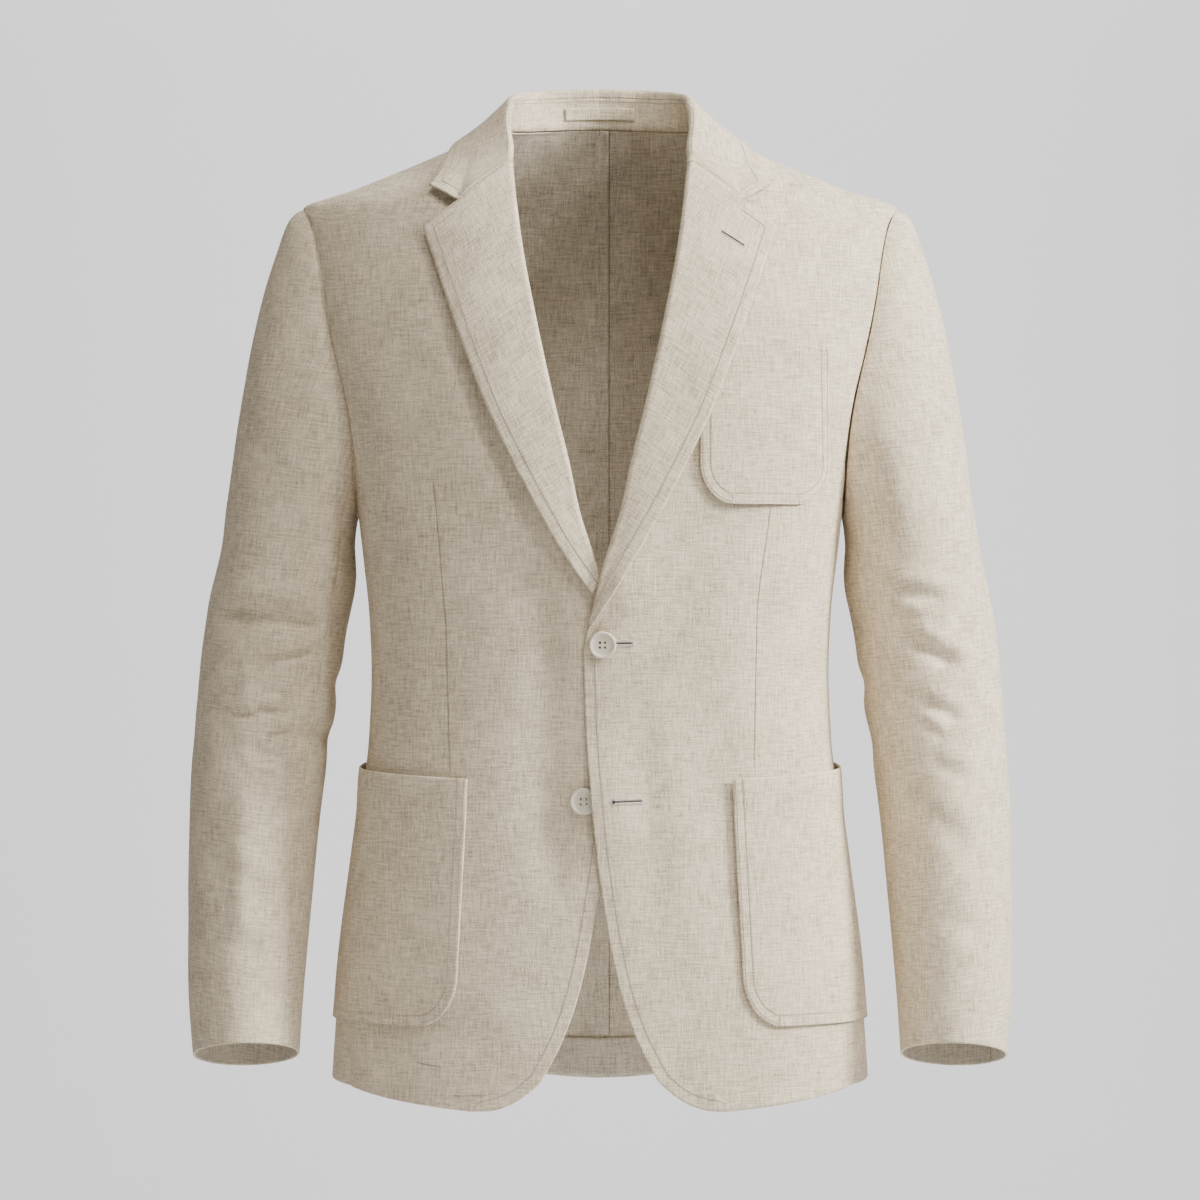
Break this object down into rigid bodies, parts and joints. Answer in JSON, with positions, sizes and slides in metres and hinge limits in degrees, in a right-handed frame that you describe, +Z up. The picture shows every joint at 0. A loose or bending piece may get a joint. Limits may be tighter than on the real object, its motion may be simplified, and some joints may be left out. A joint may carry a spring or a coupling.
{
  "type": "blazer",
  "caption": "Unlined single-breasted blazer in plain linen: notch lapels, patch pockets and curved fronts, in its hollow worn shape with the top button fastened.",
  "frame": {"origin": "midway between the neck points, where the shoulder seams meet the collar: the blazer hangs from the wearer's shoulders there", "axes": "+Z up, +X towards the wearer's left, -Y towards the wearer's front"},
  "size_m": [0.6296, 0.2716, 0.7811],
  "materials": {
    "linen": "plain-weave natural linen with irregular slubs",
    "linen_inside": "wrong side and strips of the same linen, in shade",
    "button": "off-white, satin, raised rim"
  },
  "bodies": {
    "root": {"front_left": "linen", "front_right": "linen", "side_left": "linen", "side_right": "linen", "back_left": "linen", "back_right": "linen", "lapel_left": "linen", "lapel_right": "linen", "collar": "linen", "sleeve_left_top": "linen", "sleeve_left_under": "linen", "sleeve_right_top": "linen", "sleeve_right_under": "linen", "pocket_left": "linen", "pocket_right": "linen", "pocket_chest": "linen", "button_top": "button", "button_low": "button", "hanger_loop": "linen_inside", "back_turnup": "linen_inside", "back_allowance": "linen_inside"}
  },
  "joints": []
}
